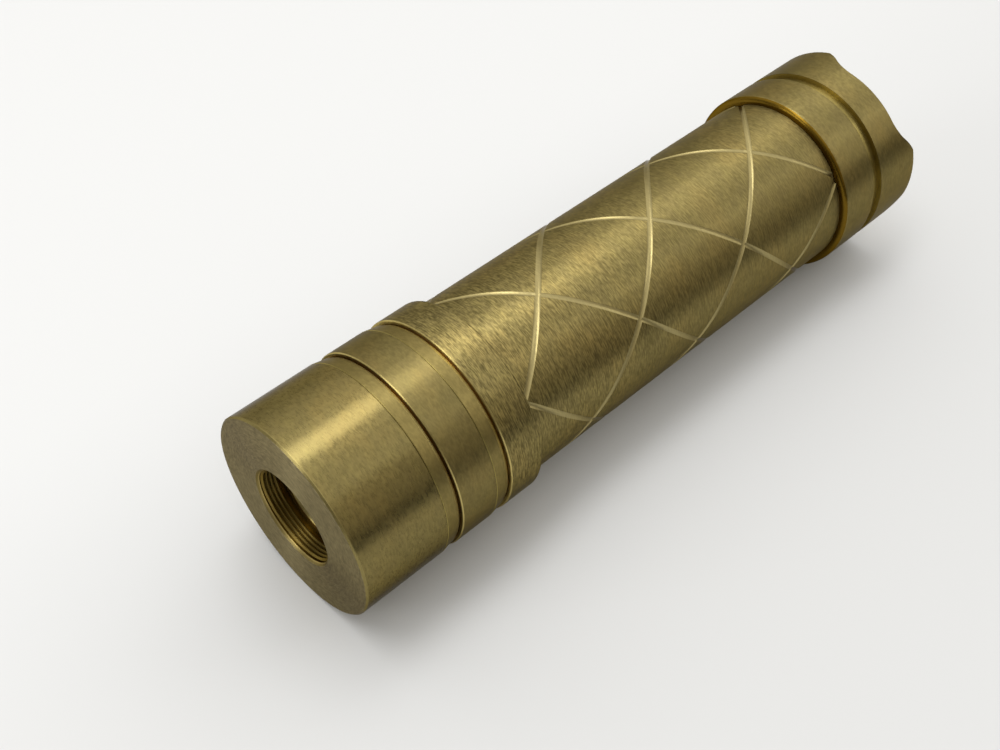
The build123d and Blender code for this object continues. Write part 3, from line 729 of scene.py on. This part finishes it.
class POINTER_OT_push_button(bpy.types.Operator):
    """Makes the rubber push button in the tail's well"""

    bl_idname = "pointer.push_button"
    bl_label = "Push button"

    def execute(self, context):
        button = context.scene.pointer_button
        # Moulded silicone rubber: charcoal, matt, with a fine spark-eroded texture
        rubber = grained(
            "Charcoal silicone rubber", tuple(button.rubber), 0.55, 0.12 * MM, bump=0.008 * MM
        )
        # A cup turned round the axis. Its top is flat with three grip rings, which are cosine
        # waves, its rim is a quarter circle, and its skirt runs down to the clamped flange.
        # Inside, a straight wall meets a flat roof in a quarter ellipse.
        radius, edge, wall, flange = 5.0 * MM, 1.2 * MM, 1.0 * MM, 6.8 * MM
        rings, rings_start, rings_width = 3, 1.1 * MM, 2.4 * MM
        plain_top = BOOT_TIP - button.rib_height
        r = np.linspace(0, radius - edge, 60)
        wave = rings * np.clip((r - rings_start) / rings_width, 0, 1)
        top = np.stack([plain_top + button.rib_height * (0.5 - 0.5 * np.cos(TURN * wave)), r], 1)
        a = np.linspace(0, TURN / 4, 12)[1:]
        rim = np.stack([plain_top - edge * (1 - np.cos(a)), radius - edge + edge * np.sin(a)], 1)
        # The corners of skirt and flange are broken by a few hundredths of a millimetre
        seat = BOOT_SEAT + 0.8 * MM
        skirt = [
            (seat + 0.35 * MM, radius), (seat + 0.02 * MM, radius), (seat, radius + 0.05 * MM),
            (seat, flange - 0.02 * MM), (seat - 0.03 * MM, flange),
            (BOOT_SEAT + 0.03 * MM, flange), (BOOT_SEAT, flange - 0.02 * MM),
        ]
        inner, bend = radius - wall, edge / 2
        spring_line = BOOT_TIP - wall - bend
        inside = [(BOOT_SEAT, inner + 0.03 * MM), (BOOT_SEAT + 0.03 * MM, inner), (spring_line, inner)]
        b = np.linspace(0, TURN / 4, 8)[1:]
        roof_x = spring_line + (bend - button.rib_height) * np.sin(b)
        roof = np.stack([roof_x, inner - bend * (1 - np.cos(b))], 1)
        outline = np.vstack([top, rim, skirt, inside, roof, [(roof[-1, 0], 0)]])
        boot = turned("rubber_boot", outline, 96, rubber, "tail")
        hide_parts("button_boot")
        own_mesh(boot)
        return {"FINISHED"}


# Stage


def put_lamp(name, place, size, radiance, aim=(0, 0, 0)):
    """A soft rectangular lamp that faces a point, with its power worked out from its radiance."""
    light = bpy.data.lights.new(name, "AREA")
    light.shape, light.size, light.size_y = "RECTANGLE", *size
    light.energy = radiance * math.pi * size[0] * size[1]
    lamp = bpy.data.objects.new(name, light)
    lamp.location = place
    lamp.rotation_euler = (Vector(aim) - Vector(place)).to_track_quat("-Z", "Y").to_euler()
    bpy.context.scene.collection.objects.link(lamp)


def pale_floor(tint):
    """Plain pale matt paper, darkened far off in front by painted shade and a little brightened behind by
    painted light.
    """
    material, tree, shader = new_finish("Pale matt paper", Roughness=0.9, Specular_IOR_Level=0.0)
    y = add(tree, "SeparateXYZ", {0: add(tree, "TexCoord").outputs["Object"]}).outputs[1]
    # Painted shade: the paper darkens far off in front, where the brass reflects it
    pale = add(tree, "MapRange", {0: y, 1: -0.15, 2: -0.07, 3: 0.25, 4: 0.88}).outputs[0]
    # Painted light: the paper is a little brighter behind
    behind = add(tree, "MapRange", {0: y, 1: -0.03, 2: 0.04, 3: 1.0, 4: 1.1}).outputs[0]
    pale = add(tree, "Math", {0: pale, 1: behind}, operation="MULTIPLY").outputs[0]
    colour = add(tree, "VectorMath", {0: tint, "Scale": pale}, operation="SCALE").outputs[0]
    tree.links.new(colour, shader.inputs["Base Color"])
    half = 3.0
    corners = [(-half, -half, 0), (half, -half, 0), (half, half, 0), (-half, half, 0)]
    mesh = bpy.data.meshes.new("floor")
    mesh.from_pydata(corners, [], [(0, 1, 2, 3)])
    mesh.materials.append(material)
    floor = bpy.data.objects.new("floor", mesh)
    bpy.context.scene.collection.objects.link(floor)


def plain_room(brightest):
    """A plain room: a light ceiling, a paler back wall, a dimmer, warmer front, dark past the muzzle.

    The ramp runs over the angle round the X axis, from the back horizon over the top to the
    front, and each stop is an angle in degrees with its radiance."""
    stops = (
        (-90, 0.7), (-70, 0.82), (-50, 1.2), (-30, 1.5), (-5, 1.45), (20, 1.2), (37, 1.15),
        (48, 0.68), (62, 0.58), (78, 0.5), (87, 0.22), (90, 0.18),
    )
    top_stop = 1.5
    neutral, warm, warm_from = np.array([1.0, 0.985, 0.95]), np.array([1.0, 0.93, 0.80]), 40
    world = bpy.data.worlds.new("Plain room")
    world.use_nodes = True
    tree = world.node_tree
    tree.nodes.clear()
    way = add(tree, "SeparateXYZ", {0: add(tree, "TexCoord").outputs["Generated"]})
    front = add(tree, "Math", {0: way.outputs[1], 1: -1.0}, operation="MULTIPLY").outputs[0]
    angle = add(tree, "Math", {0: front, 1: way.outputs[2]}, operation="ARCTAN2").outputs[0]
    share = add(tree, "MapRange", {0: angle, 1: -TURN / 4, 2: TURN / 4}).outputs[0]
    ramp = add(tree, "ValToRGB", {0: share})
    for k, (degrees, level) in enumerate(stops):
        at = (degrees + 90) / 180
        element = ramp.color_ramp.elements[k] if k < 2 else ramp.color_ramp.elements.new(at)
        element.position = at
        tint = neutral if degrees < warm_from else warm
        element.color = (*(tint * level / top_stop), 1)
    level = {0: way.outputs[0], 1: -0.75, 2: -0.35, 3: 0.3 * brightest, 4: brightest}
    level = add(tree, "MapRange", level).outputs[0]
    shade = add(tree, "Background", {0: ramp.outputs[0], 1: level})
    tree.links.new(shade.outputs[0], add(tree, "OutputWorld").inputs[0])
    bpy.context.scene.world = world


def put_camera(focal_length):
    """The camera at the photograph's angle: its place, and where its right, up and back point."""
    camera = bpy.data.cameras.new("camera")
    camera.lens, camera.sensor_width, camera.clip_start = focal_length, 36.0, 0.01
    right, up, back = (0.7259, -0.68781, 0), (0.50981, 0.53808, 0.67127), (-0.46169, -0.48728, 0.74124)
    place = Vector((-86.33, -72.47, 122.39)) * MM
    eye = bpy.data.objects.new("camera", camera)
    eye.matrix_world = Matrix.Translation(place) @ Matrix((right, up, back)).transposed().to_4x4()
    bpy.context.scene.collection.objects.link(eye)
    bpy.context.scene.camera = eye


class POINTER_OT_stage(bpy.types.Operator):
    """Sets up the pale floor, the soft lamps and the camera"""

    bl_idname = "pointer.stage"
    bl_label = "Stage"

    def execute(self, context):
        stage = context.scene.pointer_stage
        pale_floor(tuple(stage.floor))
        put_lamp("strip lamp", (-0.08, 0.10, 0.60), (0.58, 0.19), stage.strip_lamp, aim=(-0.054, 0, 0))
        put_lamp("side lamp", (-0.90, 0.32, 0.38), (0.36, 0.30), stage.side_lamp)
        put_lamp("fill lamp", (0.62, -0.45, 0.40), (0.26, 0.52), stage.fill_lamp)
        plain_room(stage.world)
        context.scene.view_settings.view_transform = "Standard"
        put_camera(stage.focal_length)
        return {"FINISHED"}


class POINTER_PT_panel(bpy.types.Panel):
    """Lists the operators of the pointer"""

    bl_idname = "POINTER_PT_panel"
    bl_label = "Laser Pointer"
    bl_space_type = "VIEW_3D"
    bl_region_type = "UI"
    bl_category = "Pointer"

    def draw(self, context):
        scene = context.scene
        for operator, group in STEPS:
            self.layout.operator(operator.bl_idname)
            if group:
                for name in getattr(scene, group).__annotations__:
                    self.layout.prop(getattr(scene, group), name)


STEPS = (
    (POINTER_OT_turned_sections, "pointer_brass"),
    (POINTER_OT_muzzle_thread, "pointer_thread"),
    (POINTER_OT_laser_module, None),
    (POINTER_OT_power_unit, None),
    (POINTER_OT_seal_rings, None),
    (POINTER_OT_push_button, "pointer_button"),
    (POINTER_OT_stage, "pointer_stage"),
)
GROUPS = {
    "pointer_brass": POINTER_PG_brass,
    "pointer_thread": POINTER_PG_thread,
    "pointer_button": POINTER_PG_button,
    "pointer_stage": POINTER_PG_stage,
}
CLASSES = (*GROUPS.values(), *(operator for operator, _ in STEPS), POINTER_PT_panel)


def register():
    for cls in CLASSES:
        bpy.utils.register_class(cls)
    for name, group in GROUPS.items():
        setattr(bpy.types.Scene, name, PointerProperty(type=group))


def unregister():
    for name in GROUPS:
        delattr(bpy.types.Scene, name)
    for cls in reversed(CLASSES):
        bpy.utils.unregister_class(cls)


def main():
    register()
    bpy.ops.pointer.turned_sections()
    bpy.ops.pointer.muzzle_thread()
    bpy.ops.pointer.laser_module()
    bpy.ops.pointer.power_unit()
    bpy.ops.pointer.seal_rings()
    bpy.ops.pointer.push_button()
    bpy.ops.pointer.stage()


if __name__ == "__main__":
    main()
